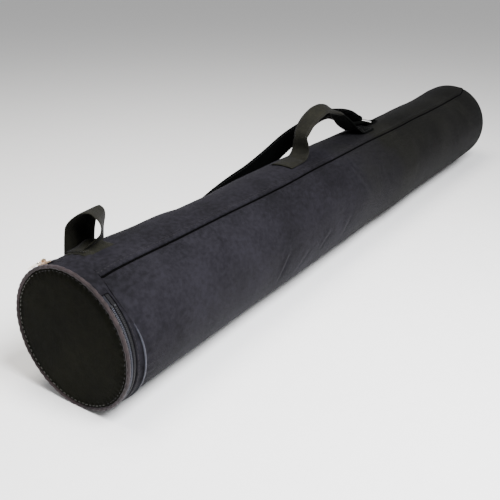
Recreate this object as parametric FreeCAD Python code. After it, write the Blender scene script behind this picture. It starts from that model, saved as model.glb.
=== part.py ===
import FreeCAD, Part
import math
import os

# A padded, zip-ended carrying tube for rolled drawings, lying on its side.
# Frame: the origin is the centre of the tube's mouth. +X runs from the mouth to the closed end,
# +Y is the side that the shoulder strap falls down, and +Z is up. Millimetres.
# An angle round the tube starts at the top (+Z) and grows towards +Y.

V = FreeCAD.Vector

# ---- driving dimensions ----
TUBE_R = 60.0             # outside of the fabric shell
BORE_R = 55.0             # clear inside radius
BORE_LEN = 845.0          # clear inside length, for an 841 mm wide roll
FLOOR = 60.6              # the resting plane lies this far below the tube's axis
FOOT_HALF = 12.0          # half width of the soft underside's flat
SHELL_T = 1.0
LINING_T = 0.6
LAYER_GAP = 0.2           # between two layers of cloth or foam

MOUTH_END = 6.6           # the cuff starts here, behind the zip
CUFF_END = 11.2
CUFF_PROUD = 1.0          # the cuff stands this far over the shell
STIFF_FROM = 3.6          # the ring that keeps the mouth round
STIFF_TO = 18.0
STIFF_T = 1.2
SHELL_END = 849.8
END_PANEL_T = 3.2
END_ROUND = 2.4
END_DISC_R = TUBE_R - 1.6 # the end's foam and board
SEAM_FROM = -24.0         # the long seam's lap, as angles round the tube
SEAM_TO = -18.8
SEAM_T = 0.5

ZIP_R = 59.4              # outside of the zip's tape
TAPE_T = 0.6
COIL_H = 0.95
COIL_W = 2.0
ZIP_GAP = 0.6             # each row of teeth starts this far from the parting plane
ZIP_FROM = 29.0           # the zip's closed end, then on round the back and under
ZIP_TO = 313.0            # the zip's open end, at the upper front
STOP_ARC = 1.6
HINGE_FROM = -38.0        # the cloth that joins the lid to the tube
HINGE_TO = 19.0
SLIDER_REST = 24.0        # angle of the closed slider, beside the end of the teeth
SLIDER_HALF = 4.2         # half of the slider's length, as an angle round the tube
SLIDER_OVER = 1.35        # its top plate's clearance over the tape
SLIDER_UNDER = 0.95       # its lower plate's depth under the tape's outside
PLATE_T = 1.0
EAR = (0.8, 1.6, 2.6)     # one of the two ears that hold the crossbar
CROSSBAR_R = 0.5
PULL_BAR_Z = 63.3         # the slider's crossbar, above the tube's axis

LID_R = 61.0
PIPING_R = 1.3
PIPING_X = -4.6
LID_FACE_X = -5.4
LID_FACE_T = 0.8
LID_INNER_R = 57.5

WEB_T = 1.3               # thickness of all the webbing
WEB_W = 38.0
WIRE_R = 1.6              # wire of the two D-rings
RING_R = 20.0
RING_LIFT = 25.0
RING_BAR_Z = 63.6

STRAP_GAP = 0.8           # clearance of the adjuster's bars over and under the strap
FOOT_LIFT = 0.15          # sewn webbing lies this far over the shell
LOOP_ANGLE = 14.0         # the hanging loop stands at this angle round the tube
FAR_RING = (512.0, 14.0)  # distance along the tube and angle round it
NEAR_RING = (300.0, 112.0)
LOOP_X = 39.0             # middle of the hanging loop
LOOP_W = 32.0
LOOP_FOOT = (23.0, 52.0)  # the loop's sewn foot, along the tube
LOOP_FOOT_HALF = 15.0     # and its half width, as an angle
HANDLE_HALF = 18.0        # half width of the handle's sewn feet, as an angle
SLIDE_AT = 13             # the adjuster sits at this station of the strap's line


# ---- helpers ----
def spoke(angle, radius, x=0.0):
    a = math.radians(angle)
    return V(x, radius * math.sin(a), radius * math.cos(a))


def turn(shape, angle):
    """Turns a shape that was drawn at the top of the tube to its angle."""
    turned = shape.copy()
    turned.rotate(V(0, 0, 0), V(1, 0, 0), -angle)
    return turned


def foot_face(radius, drop, half, x):
    """A circle whose underside spreads onto a flat, as a soft tube does on a table."""
    reach = math.hypot(half, drop)
    a = math.atan2(half, drop) + math.acos(radius / reach)
    y = radius * math.sin(a)
    z = -radius * math.cos(a)
    right = V(x, y, z)
    left = V(x, -y, z)
    edges = [
        Part.Arc(right, V(x, 0, radius), left).toShape(),
        Part.LineSegment(left, V(x, -half, -drop)).toShape(),
        Part.LineSegment(V(x, -half, -drop), V(x, half, -drop)).toShape(),
        Part.LineSegment(V(x, half, -drop), right).toShape(),
    ]
    return Part.Face(Part.Wire(edges))


def foot_solid(inset, x0, x1, radius=TUBE_R):
    """The tube's outer form, drawn in by inset all round."""
    face = foot_face(radius - inset, FLOOR - inset, FOOT_HALF - inset * 0.4, x0)
    return face.extrude(V(x1 - x0, 0, 0))


def disc(x0, x1, radius):
    return Part.makeCylinder(radius, x1 - x0, V(x0, 0, 0), V(1, 0, 0))


def pipe(x0, x1, r_out, r_in):
    return disc(x0, x1, r_out).cut(disc(x0 - 1, x1 + 1, r_in))


def arc_band(x0, x1, r_in, r_out, a0, a1):
    """Part of a ring round the tube, from angle a0 to angle a1."""
    a = math.radians(a0)
    out = V(0, math.sin(a), math.cos(a))
    corners = [V(x0, 0, 0) + out * r_in, V(x1, 0, 0) + out * r_in,
               V(x1, 0, 0) + out * r_out, V(x0, 0, 0) + out * r_out]
    face = Part.Face(Part.makePolygon(corners + [corners[0]]))
    return face.revolve(V(0, 0, 0), V(-1, 0, 0), a1 - a0)


def ribbon(stations, thickness):
    """A flat strap through (centre, half width vector) stations."""
    wires = []
    last = len(stations) - 1
    for i, (centre, half) in enumerate(stations):
        ahead = stations[min(i + 1, last)][0]
        behind = stations[max(i - 1, 0)][0]
        normal = (ahead - behind).cross(half)
        normal.normalize()
        n = normal * (thickness / 2)
        corners = [centre - half - n, centre + half - n, centre + half + n, centre - half + n]
        wires.append(Part.makePolygon(corners + [corners[0]]))
    return Part.makeLoft(wires, True, True)


# ---- the tube ----
def outer_shell():
    outer = foot_solid(0, CUFF_END + LAYER_GAP, SHELL_END)
    inner = foot_solid(SHELL_T, CUFF_END - 1, SHELL_END + 1)
    return outer.cut(inner)


def cuff_band():
    outer = foot_solid(0, MOUTH_END, CUFF_END, TUBE_R + CUFF_PROUD)
    inner = foot_solid(SHELL_T, MOUTH_END - 1, CUFF_END + 1)
    return outer.cut(inner)


def mouth_stiffener():
    inner = BORE_R + LINING_T + LAYER_GAP
    return pipe(STIFF_FROM, STIFF_TO, inner + STIFF_T, inner)


def foam_padding():
    outer = foot_solid(SHELL_T + LAYER_GAP, MOUTH_END + 0.1, BORE_LEN + 0.8)
    bore = BORE_R + LINING_T + LAYER_GAP
    pocket = disc(0, STIFF_TO + LAYER_GAP, bore + STIFF_T + LAYER_GAP)
    return outer.cut(disc(0, SHELL_END, bore)).cut(pocket)


def lining():
    return pipe(0, BORE_LEN, BORE_R + LINING_T, BORE_R)


def long_seam():
    low = TUBE_R + 0.1
    return arc_band(CUFF_END + 0.5, SHELL_END - 0.5, low, low + SEAM_T, SEAM_FROM, SEAM_TO)


def end_panel():
    start = SHELL_END + LAYER_GAP
    end = start + END_PANEL_T
    panel = foot_solid(0, start, end)
    rim = [edge for edge in panel.Edges if abs(edge.CenterOfMass.x - end) < 0.01]
    return panel.makeFillet(END_ROUND, rim)


def end_lining():
    return disc(BORE_LEN + 0.2, BORE_LEN + 0.7, BORE_R)


def end_foam():
    return disc(BORE_LEN + 1.0, BORE_LEN + 3.4, END_DISC_R)


def end_stiffener():
    return disc(BORE_LEN + 3.6, BORE_LEN + 4.6, END_DISC_R)


# ---- the zip ----
def body_zip_tape():
    return arc_band(ZIP_GAP, MOUTH_END - 0.1, ZIP_R - TAPE_T, ZIP_R, ZIP_FROM, ZIP_TO)


def lid_zip_tape():
    return arc_band(-2.95, -ZIP_GAP, ZIP_R - TAPE_T, ZIP_R, ZIP_FROM, ZIP_TO)


def teeth(side):
    x0, x1 = sorted((side * ZIP_GAP, side * (ZIP_GAP + COIL_W)))
    r0 = ZIP_R + 0.05
    return arc_band(x0, x1, r0, r0 + COIL_H, ZIP_FROM + STOP_ARC + 0.1, ZIP_TO - STOP_ARC - 0.1)


def zip_stops(side):
    x0, x1 = sorted((side * ZIP_GAP, side * (ZIP_GAP + COIL_W)))
    r0 = ZIP_R + 0.05
    first = arc_band(x0, x1, r0, r0 + COIL_H, ZIP_FROM, ZIP_FROM + STOP_ARC)
    second = arc_band(x0, x1, r0, r0 + COIL_H, ZIP_TO - STOP_ARC, ZIP_TO)
    return Part.makeCompound([first, second])


def zip_slider():
    """Two plates, one over and one under the tape, on a thin post between the teeth."""
    half = SLIDER_HALF
    top = ZIP_R + SLIDER_OVER
    bottom = ZIP_R - SLIDER_UNDER
    over = arc_band(-3.1, 3.1, top, top + PLATE_T, -half, half)
    under = arc_band(-2.6, 2.6, bottom - PLATE_T / 2, bottom, -half, half)
    post = arc_band(-0.3, 0.3, bottom - PLATE_T / 4, top + PLATE_T / 4, -half * 0.6, half * 0.6)
    ears = [Part.makeBox(*EAR, V(x, -EAR[1] / 2, ZIP_R + 2.0)) for x in (-1.9, 1.1)]
    crossbar = Part.makeCylinder(CROSSBAR_R, 3.0, V(-1.5, 0, PULL_BAR_Z), V(1, 0, 0))
    body = over.fuse([under, post, crossbar] + ears).removeSplitter()
    return turn(body, SLIDER_REST)


def pull_tab():
    """A flat metal tab with an eye round the slider's crossbar, hanging down the back."""
    eye = Part.makeCylinder(1.3, 1.8, V(-0.9, 0, PULL_BAR_Z), V(1, 0, 0))
    neck = Part.makeBox(1.8, 4.0, 1.0, V(-0.9, 0.6, PULL_BAR_Z - 0.5))
    blade = Part.makeBox(5.6, 17.0, 1.2, V(-2.8, 4.2, PULL_BAR_Z - 0.6))
    corners = [e for e in blade.Edges if abs(e.tangentAt(e.FirstParameter).z) > 0.9]
    blade = blade.makeFillet(2.0, corners)
    slot = Part.makeBox(2.4, 7.0, 3.0, V(-1.2, 11.5, PULL_BAR_Z - 1.9))
    tab = eye.fuse([neck, blade.cut(slot)]).removeSplitter()
    tab = tab.cut(Part.makeCylinder(CROSSBAR_R + 0.06, 4.0, V(-2, 0, PULL_BAR_Z), V(1, 0, 0)))
    tab.rotate(V(0, 0, PULL_BAR_Z), V(1, 0, 0), -9.0)
    return turn(tab, SLIDER_REST)


def hinge_gusset():
    return arc_band(-2.6, MOUTH_END - 0.1, ZIP_R - TAPE_T, ZIP_R + 0.4, HINGE_FROM, HINGE_TO)


# ---- the lid ----
def lid_panel():
    return disc(LID_FACE_X, LID_FACE_X + LID_FACE_T, LID_R - 2 * PIPING_R - 0.1)


def lid_piping():
    cord = Part.makeTorus(LID_R - PIPING_R, PIPING_R, V(PIPING_X, 0, 0), V(1, 0, 0))
    below = Part.makeBox(10, 80, 10, V(PIPING_X - 5, -40, -FLOOR - 10))
    return cord.cut(below)


def lid_stiffener():
    return disc(-4.5, -3.3, LID_INNER_R)


def lid_foam():
    return disc(-3.2, -1.2, LID_INNER_R)


def lid_lining():
    return disc(-1.1, -0.5, LID_INNER_R)


# ---- the carry handle ----
def handle_feet():
    """The two sewn ends of the handle, each with the start of its leg."""
    low = TUBE_R + FOOT_LIFT
    near_foot = arc_band(298.0, 341.0, low, low + WEB_T, -HANDLE_HALF, HANDLE_HALF)
    near_leg = ribbon([(V(340.2, 0, 60.5), V(0, 15, 0)), (V(340.0, 0, 64), V(0, 13, 0)),
                       (V(339.7, 0, 68.2), V(0, 11, 0))], 2.2)
    far_foot = arc_band(474.0, 507.0, low, low + WEB_T, -HANDLE_HALF, HANDLE_HALF)
    far_leg = ribbon([(V(479, 0, 61.2), V(0, 15, 0)), (V(470, 0, 63.6), V(0, 15, 0)),
                      (V(461, 0, 67.8), V(0, 12, 0))], 2.2)
    return Part.makeCompound([near_foot.fuse(near_leg), far_foot.fuse(far_leg)])


def handle_grip():
    """The standing part, folded in two along its length."""
    line = [(338.6, 82), (341, 88), (346.5, 93.2), (356, 98.4), (366, 102), (377, 104.6), (388, 105.2),
            (399, 103.4), (410, 99.6), (420, 94.6), (429, 88.8), (437, 82.8)]
    halves = [7.5, 8.5, 9.5, 10, 10, 10, 10, 10, 10, 10, 9.5, 9]
    stations = [(V(x, 0, z), V(0, half, 0)) for (x, z), half in zip(line, halves)]
    return ribbon(stations, 3.0)


# ---- the hanging loop by the lid ----
def loop_foot():
    low = TUBE_R + FOOT_LIFT
    return arc_band(*LOOP_FOOT, low, low + WEB_T, LOOP_ANGLE - LOOP_FOOT_HALF, LOOP_ANGLE + LOOP_FOOT_HALF)


def hanging_loop():
    line = [(8.6, 70.5), (8.2, 76), (5.6, 82), (1.4, 86.4), (-4.0, 88.0), (-9.0, 86.2), (-12.8, 81.4),
            (-14.0, 76), (-13.0, 70.5)]
    stations = [(V(LOOP_X, y, z), V(LOOP_W / 2, 0, 0)) for y, z in line]
    return turn(ribbon(stations, WEB_T), LOOP_ANGLE)


# ---- the shoulder strap ----
def d_ring(place):
    x, angle = place
    hoop = Part.makeTorus(RING_R, WIRE_R, V(0, 0, 0), V(0, 0, 1), -180, 180, 180)
    hoop.rotate(V(0, 0, 0), V(0, 0, 1), 90)
    bar = Part.makeCylinder(WIRE_R, 2 * RING_R, V(0, -RING_R, 0), V(0, 1, 0))
    corners = [Part.makeSphere(WIRE_R, V(0, side * RING_R, 0)) for side in (-1, 1)]
    ring = hoop.fuse([bar] + corners)
    ring.rotate(V(0, 0, 0), V(0, 1, 0), RING_LIFT)
    ring.translate(V(x, 0, RING_BAR_Z))
    return turn(ring, angle)


def ring_tab(place):
    """Webbing folded round the ring's straight bar and sewn down behind it."""
    x, angle = place
    wide = WEB_W / 2 - 2
    sleeve = Part.makeCylinder(WIRE_R + WEB_T, 2 * wide, V(x, -wide, RING_BAR_Z), V(0, 1, 0))
    tongue = Part.makeBox(8.0, 2 * wide, 1.6, V(x, -wide, 60.9))
    low = TUBE_R + FOOT_LIFT
    foot = arc_band(x + 2.5, x + 30.0, low, low + WEB_T, -17, 17)
    tab = sleeve.fuse([tongue, foot]).removeSplitter()
    tab = tab.cut(Part.makeCylinder(WIRE_R + 0.05, 2 * wide + 2, V(x, -wide - 1, RING_BAR_Z), V(0, 1, 0)))
    return turn(tab, angle)


STRAP_LINE = [  # x, y, z of the strap's middle, and the tilt of its width below the horizontal
    (488, 18, 73.6, 15), (474, 22, 80, 22), (455, 26, 82.2, 34), (432, 30, 80.5, 50),
    (405, 36, 72.5, 62), (375, 44, 60.2, 70), (345, 52, 44, 74), (315, 57.2, 32.3, 76),
    (285, 60.2, 25, 78), (255, 63.4, 15.5, 80), (228, 68, 4.5, 76), (216, 71, -3.5, 68),
    (206, 74.5, -11.5, 66), (190, 80.1, -24.3, 66), (174, 85.7, -37.1, 63), (160, 92, -44, 48),
    (146, 98, -50, 20), (124, 104, -54.6, 3),
    (104, 106, -55, 0), (92, 106, -55.4, 0), (88, 106, -57.6, 0), (92, 106, -59.8, 0),
    (112, 106, -59.9, 0), (160, 106, -59.8, 0), (196, 103, -58.2, 4), (224, 95.5, -50.5, 28),
    (246, 85, -40, 68), (262, 76, -32.4, 98), (275.2, 69.7, -28.2, 112),
]


def strap_frame(i):
    """The strap's middle, its direction, and its width direction squared up to that."""
    last = len(STRAP_LINE) - 1
    along = V(*STRAP_LINE[min(i + 1, last)][:3]) - V(*STRAP_LINE[max(i - 1, 0)][:3])
    along.normalize()
    a = math.radians(STRAP_LINE[i][3])
    across = V(0, math.cos(a), -math.sin(a))
    across = across - along * across.dot(along)
    across.normalize()
    return V(*STRAP_LINE[i][:3]), along, across


def shoulder_strap():
    stations = []
    for i in range(len(STRAP_LINE)):
        middle, along, across = strap_frame(i)
        stations.append((middle, across * (WEB_W / 2)))
    return ribbon(stations, WEB_T)


def strap_slide():
    """The ladder-shaped adjuster: side rails, two outer bars under the strap, one bar over it."""
    middle, along, across = strap_frame(SLIDE_AT)
    up = across.cross(along)
    rail = WEB_W / 2 + 2.1
    bar_r = 1.1
    reach = 11.0
    lift = WEB_T / 2 + bar_r + STRAP_GAP

    def bar(at, height):
        return Part.makeCylinder(bar_r, 2 * rail, middle + along * at + up * height - across * rail, across)

    def side(sign):
        centre = middle + across * (sign * rail)
        low_a = centre - along * reach - up * lift
        low_b = centre + along * reach - up * lift
        high = centre + up * lift
        legs = []
        for p, q in ((low_a, low_b), (low_a, high), (high, low_b)):
            legs.append(Part.makeCylinder(bar_r, (q - p).Length, p, q - p))
        joints = [Part.makeSphere(bar_r, p) for p in (low_a, low_b, high)]
        return legs + joints

    pieces = [bar(reach, -lift), bar(0, lift)] + side(1) + side(-1)
    return bar(-reach, -lift).fuse(pieces)


NODES = {
    "outer_shell": outer_shell,
    "cuff_band": cuff_band,
    "mouth_stiffener": mouth_stiffener,
    "foam_padding": foam_padding,
    "lining": lining,
    "long_seam": long_seam,
    "end_panel": end_panel,
    "end_stiffener": end_stiffener,
    "end_foam": end_foam,
    "end_lining": end_lining,
    "body_zip_tape": body_zip_tape,
    "body_zip_teeth": lambda: teeth(1),
    "body_zip_stops": lambda: zip_stops(1),
    "lid_zip_tape": lid_zip_tape,
    "lid_zip_teeth": lambda: teeth(-1),
    "lid_zip_stops": lambda: zip_stops(-1),
    "zip_slider": zip_slider,
    "pull_tab": pull_tab,
    "hinge_gusset": hinge_gusset,
    "lid_panel": lid_panel,
    "lid_piping": lid_piping,
    "lid_stiffener": lid_stiffener,
    "lid_foam": lid_foam,
    "lid_lining": lid_lining,
    "handle_feet": handle_feet,
    "handle_grip": handle_grip,
    "loop_foot": loop_foot,
    "hanging_loop": hanging_loop,
    "far_ring": lambda: d_ring(FAR_RING),
    "far_ring_tab": lambda: ring_tab(FAR_RING),
    "near_ring": lambda: d_ring(NEAR_RING),
    "near_ring_tab": lambda: ring_tab(NEAR_RING),
    "shoulder_strap": shoulder_strap,
    "strap_slide": strap_slide,
}

os.makedirs("parts", exist_ok=True)
for name, build in NODES.items():
    shape = build()
    shape.exportStep("parts/" + name + ".step")
    box = shape.BoundBox
    print(name, len(shape.Solids), "solids, valid", shape.isValid(), round(shape.Volume, 1), "mm3, z from",
          round(box.ZMin, 1), "to", round(box.ZMax, 1))
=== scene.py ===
"""A padded black nylon carrying tube for rolled drawings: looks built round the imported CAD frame."""
import math

import bpy
import numpy as np
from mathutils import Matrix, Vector, noise


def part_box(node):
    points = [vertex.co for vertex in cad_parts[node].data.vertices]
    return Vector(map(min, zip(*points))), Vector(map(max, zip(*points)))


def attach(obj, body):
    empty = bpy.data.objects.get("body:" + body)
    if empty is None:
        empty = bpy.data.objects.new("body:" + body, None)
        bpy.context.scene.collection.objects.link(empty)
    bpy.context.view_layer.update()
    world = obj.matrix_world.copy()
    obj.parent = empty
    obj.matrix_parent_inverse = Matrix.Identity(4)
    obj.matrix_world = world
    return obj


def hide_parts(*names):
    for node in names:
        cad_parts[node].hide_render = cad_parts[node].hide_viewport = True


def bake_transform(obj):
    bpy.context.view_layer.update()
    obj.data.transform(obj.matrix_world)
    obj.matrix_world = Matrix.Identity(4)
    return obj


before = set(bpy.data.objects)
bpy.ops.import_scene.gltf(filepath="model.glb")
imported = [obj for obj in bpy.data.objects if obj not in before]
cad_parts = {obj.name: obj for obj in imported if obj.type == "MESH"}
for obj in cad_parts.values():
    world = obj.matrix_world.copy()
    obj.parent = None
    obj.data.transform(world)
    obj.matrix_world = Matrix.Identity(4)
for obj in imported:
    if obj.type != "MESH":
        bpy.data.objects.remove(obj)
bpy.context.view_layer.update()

MM = 0.001
TAU = 2 * math.pi

# ---- sizes in millimetres, read from the frame or worked out from it ----
SHELL_LOW, SHELL_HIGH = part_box("outer_shell")
CUFF_LOW, CUFF_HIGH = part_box("cuff_band")
PANEL_LOW, PANEL_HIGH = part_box("end_panel")
TUBE_R = SHELL_HIGH.z / MM  # outside of the fabric
FLOOR = -SHELL_LOW.z / MM  # the resting plane is this far below the axis
END_X = PANEL_HIGH.x / MM
CUFF_X0, CUFF_X1 = CUFF_LOW.x / MM, CUFF_HIGH.x / MM
ZIP_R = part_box("body_zip_tape")[1].y / MM - 0.02
LINING_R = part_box("lining")[1].z / MM
LID_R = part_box("lid_piping")[1].y / MM
LID_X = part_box("lid_panel")[0].x / MM

SEAM_ANGLE = -24.0  # angles grow from the top towards +Y
ZIP_FROM, ZIP_TO = 29.0, 313.0
GUSSET_FROM, GUSSET_TO = -38.0, 20.0
CUFF_FRONT = 3.4  # the cuff's cloth reaches forward over the zip's tape to here
END_ROUND = 10.0  # radius of the far end's rounded rim
ROUND_X = END_X - 1.2 - END_ROUND  # where that rounding begins, the rim being 1.2 short of the end
WEB_T = 1.3  # thickness of the webbing
LEAST_R = LINING_R + 1.3  # the fabric's deepest dent leaves room for the foam and the lining
ARC = 1.047  # length round the tube of one degree
CLEAR = 0.02  # how far the fabric stays above the floor


# ---- small helpers ----
def spoke(angle, radius, x=0.0):
    """A point in metres, x along the tube and radius out from its axis, from millimetres."""
    a = math.radians(angle)
    return Vector((x * MM, radius * math.sin(a) * MM, radius * math.cos(a) * MM))


def outward(angle):
    """The direction out from the axis at an angle."""
    a = math.radians(angle)
    return Vector((0, math.sin(a), math.cos(a)))


def round_way(angle):
    """The direction round the tube at an angle."""
    a = math.radians(angle)
    return Vector((0, math.cos(a), -math.sin(a)))


def mm(x, y, z):
    """A point in metres, from millimetres."""
    return Vector((x, y, z)) * MM


def step(x, a, b):
    """0 before a, 1 after b, smooth between."""
    t = min(1.0, max(0.0, (x - a) / (b - a)))
    return t * t * (3 - 2 * t)


def bump(x, centre, width):
    """A bell curve, 1 at the centre."""
    return math.exp(-((x - centre) / width) ** 2)


def wrap(angle):
    """The same angle, between -180 and 180."""
    return (angle + 180) % 360 - 180


def on_floor(radius, angle):
    """The radius, cut back where it would reach below the floor."""
    if 100 < angle % 360 < 260:
        return min(radius, (FLOOR - CLEAR) / -math.cos(math.radians(angle)))
    return radius


def above_floor(point):
    """The point, raised to the floor where it would lie below it."""
    point.z = max(point.z, (1.5 * CLEAR - FLOOR) * MM)
    return point


def rough(x, y, z, size):
    """Smooth noise between -1 and 1, its lumps about size across."""
    return noise.noise(Vector((x, y, z)) / size)


def build(name, verts, faces, material, cloth=None, smooth=True):
    """A mesh piece. cloth gives each vertex its place on the flat cloth, in millimetres."""
    mesh = bpy.data.meshes.new(name)
    mesh.from_pydata([tuple(v) for v in verts], [], faces)
    mesh.materials.append(material)
    if cloth is not None:
        layer = mesh.attributes.new("cloth", "FLOAT_VECTOR", "POINT")
        layer.data.foreach_set("vector", np.array(cloth, np.float32).ravel())
    if smooth:
        mesh.polygons.foreach_set("use_smooth", [True] * len(mesh.polygons))
    mesh.update()
    obj = bpy.data.objects.new(name, mesh)
    bpy.context.scene.collection.objects.link(obj)
    return obj


def grid_faces(rows, cols, close, capped=False):
    """Outward faces for a grid. close joins the last column to the first; capped closes the end rows."""
    faces = []
    for i in range(rows - 1):
        a, b = i * cols, (i + 1) * cols
        for j in range(cols if close else cols - 1):
            k = (j + 1) % cols
            faces.append((b + j, b + k, a + k, a + j))
    if capped:
        end = (rows - 1) * cols
        faces += [tuple(range(cols)), tuple(range(end, end + cols))[::-1]]
    return faces


def cloth_grid(point, us, vs, close, capped=False):
    """The vertices, places on the flat cloth and faces of a grid through point(u, v)."""
    verts, cloth = [], []
    for u in us:
        for v in vs:
            where, flat = point(u, v)
            verts.append(where)
            cloth.append((flat[0], flat[1], 0))
    return verts, cloth, grid_faces(len(us), len(vs), close, capped)


def thicken(obj, thickness):
    """Give a cloth piece its thickness, inwards; a negative one goes outwards."""
    solid = obj.modifiers.new("thickness", "SOLIDIFY")
    solid.thickness = thickness * MM
    solid.offset = -1


def surface(name, point, us, vs, material, close=False, thickness=0.0):
    """A cloth surface through point(u, v), u along the tube and v round it."""
    verts, cloth, faces = cloth_grid(point, us, vs, close)
    obj = build(name, verts, faces, material, cloth)
    if thickness:
        thicken(obj, thickness)
    return obj


def spans(a, b, size):
    """Evenly spaced values from a to b, about size apart."""
    return np.linspace(a, b, max(2, int(round(abs(b - a) / size)) + 1))


# ---- materials ----
def principled(name):
    """A new material, with its node tree and its shader."""
    material = bpy.data.materials.new(name)
    material.use_nodes = True
    return material, material.node_tree, material.node_tree.nodes["Principled BSDF"]


def maths(tree, operation, a, b=None):
    """The result of a maths node on sockets or numbers."""
    node = tree.nodes.new("ShaderNodeMath")
    node.operation = operation
    for socket, value in zip(node.inputs, (a, b)):
        if value is None:
            continue
        if isinstance(value, (int, float)):
            socket.default_value = value
        else:
            tree.links.new(value, socket)
    return node.outputs[0]


def place_of(tree):
    """The place on the piece, in metres."""
    return tree.nodes.new("ShaderNodeTexCoord").outputs["Object"]


def noise_of(tree, scale, detail=3.0):
    """Noise over the place on the piece."""
    node = tree.nodes.new("ShaderNodeTexNoise")
    node.inputs["Scale"].default_value = scale
    node.inputs["Detail"].default_value = detail
    tree.links.new(place_of(tree), node.inputs["Vector"])
    return node.outputs["Fac"]


def ramp(tree, value, low, high, first, second):
    """The value, rescaled from low..high to first..second."""
    node = tree.nodes.new("ShaderNodeMapRange")
    node.inputs["From Min"].default_value = low
    node.inputs["From Max"].default_value = high
    node.inputs["To Min"].default_value = first
    node.inputs["To Max"].default_value = second
    tree.links.new(value, node.inputs["Value"])
    return node.outputs["Result"]


def two_colours(tree, factor, a, b):
    """A mix of two colours, each a colour or a socket."""
    node = tree.nodes.new("ShaderNodeMix")
    node.data_type = "RGBA"
    for socket, colour in (("A", a), ("B", b)):
        if isinstance(colour, tuple):
            node.inputs[socket].default_value = (*colour, 1)
        else:
            tree.links.new(colour, node.inputs[socket])
    tree.links.new(factor, node.inputs["Factor"])
    return node.outputs["Result"]


def add_bump(tree, shader, height, strength, depth):
    """Bump shading from a height pattern, depth in mm."""
    bumps = tree.nodes.new("ShaderNodeBump")
    bumps.inputs["Strength"].default_value = strength
    bumps.inputs["Distance"].default_value = depth * MM
    tree.links.new(height, bumps.inputs["Height"])
    tree.links.new(bumps.outputs["Normal"], shader.inputs["Normal"])


def feed(tree, shader, colour, grain, low, high):
    """The shader's colour from a socket, and its roughness between low and high from a grain."""
    tree.links.new(colour, shader.inputs["Base Color"])
    tree.links.new(ramp(tree, grain, 0.3, 0.7, low, high), shader.inputs["Roughness"])


FAR_SHADE_TURN = (0.36, 0.52)  # metres along the tube, between which a cloth takes its far colours: greener, and darker as painted shade of the light falling off towards the far end


def woven(name, dark, light, pitch, depth, sheen=0.25, roughness=0.72, rib=None, gloss=0.12, far=None):
    """Woven cloth. pitch is the yarn spacing in mm, or rib the two spacings, along and across.

    far is the (dark, light) pair that the cloth's colour turns to past the tube's middle: a greener tint, and
    darker as painted shade of the light falling off towards the far end.
    """
    material, tree, shader = principled(name)
    flat = tree.nodes.new("ShaderNodeAttribute")
    flat.attribute_name = "cloth"
    split = tree.nodes.new("ShaderNodeSeparateXYZ")
    tree.links.new(flat.outputs["Vector"], split.inputs[0])
    along, across = rib or (pitch, pitch)
    warp = maths(tree, "SINE", maths(tree, "MULTIPLY", split.outputs["X"], TAU / along))
    weft = maths(tree, "SINE", maths(tree, "MULTIPLY", split.outputs["Y"], TAU / across))
    weave = maths(tree, "MULTIPLY", warp, weft)
    fuzz = noise_of(tree, 900.0, 4.0)
    patches = noise_of(tree, 16.0, 5.0)
    yarn = noise_of(tree, 260.0, 2.0)
    height = maths(tree, "ADD", maths(tree, "MULTIPLY", weave, 0.5), fuzz)
    add_bump(tree, shader, height, 0.55, depth)
    tone = maths(tree, "ADD", ramp(tree, weave, -1, 1, -0.16, 0.16), patches)
    tone = maths(tree, "ADD", tone, ramp(tree, yarn, 0.3, 0.7, -0.14, 0.14))
    tone = ramp(tree, tone, 0.25, 0.8, 0, 1)
    colour = two_colours(tree, tone, dark, light)
    # painted shade: past the turn the colour darkens towards the far end, standing in for the light falling
    # off there, and turns greener
    if far:
        spot = tree.nodes.new("ShaderNodeSeparateXYZ")
        tree.links.new(place_of(tree), spot.inputs[0])
        ragged = ramp(tree, patches, 0.3, 0.7, -0.07, 0.07)
        turn = ramp(tree, maths(tree, "ADD", spot.outputs["X"], ragged), *FAR_SHADE_TURN, 0, 1)
        colour = two_colours(tree, turn, colour, two_colours(tree, tone, *far))
    feed(tree, shader, colour, fuzz, roughness - 0.06, roughness + 0.06)
    shader.inputs["Sheen Weight"].default_value = sheen
    shader.inputs["Sheen Roughness"].default_value = 0.45
    shader.inputs["Sheen Tint"].default_value = (0.62, 0.60, 0.70, 1)
    shader.inputs["Specular IOR Level"].default_value = gloss
    return material


def metal(name, colour, tarnish, roughness):
    """Bright metal with spots of tarnish and fine scratches."""
    material, tree, shader = principled(name)
    spots = noise_of(tree, 420.0, 5.0)
    scratches = noise_of(tree, 1500.0, 2.0)
    spotted = two_colours(tree, ramp(tree, spots, 0.45, 0.75, 0, 1), colour, tarnish)
    feed(tree, shader, spotted, scratches, roughness * 0.7, roughness * 1.5)
    shader.inputs["Metallic"].default_value = 1.0
    add_bump(tree, shader, scratches, 0.15, 0.05)
    return material


def plain(name, dark, light, roughness, grain, depth):
    """Moulded plastic, foam or thread, with a fine grain."""
    material, tree, shader = principled(name)
    fine = noise_of(tree, grain, 4.0)
    colour = two_colours(tree, ramp(tree, fine, 0.3, 0.7, 0, 1), dark, light)
    feed(tree, shader, colour, fine, roughness - 0.08, roughness + 0.08)
    shader.inputs["Specular IOR Level"].default_value = 0.25
    add_bump(tree, shader, fine, 0.4, depth)
    return material
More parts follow.
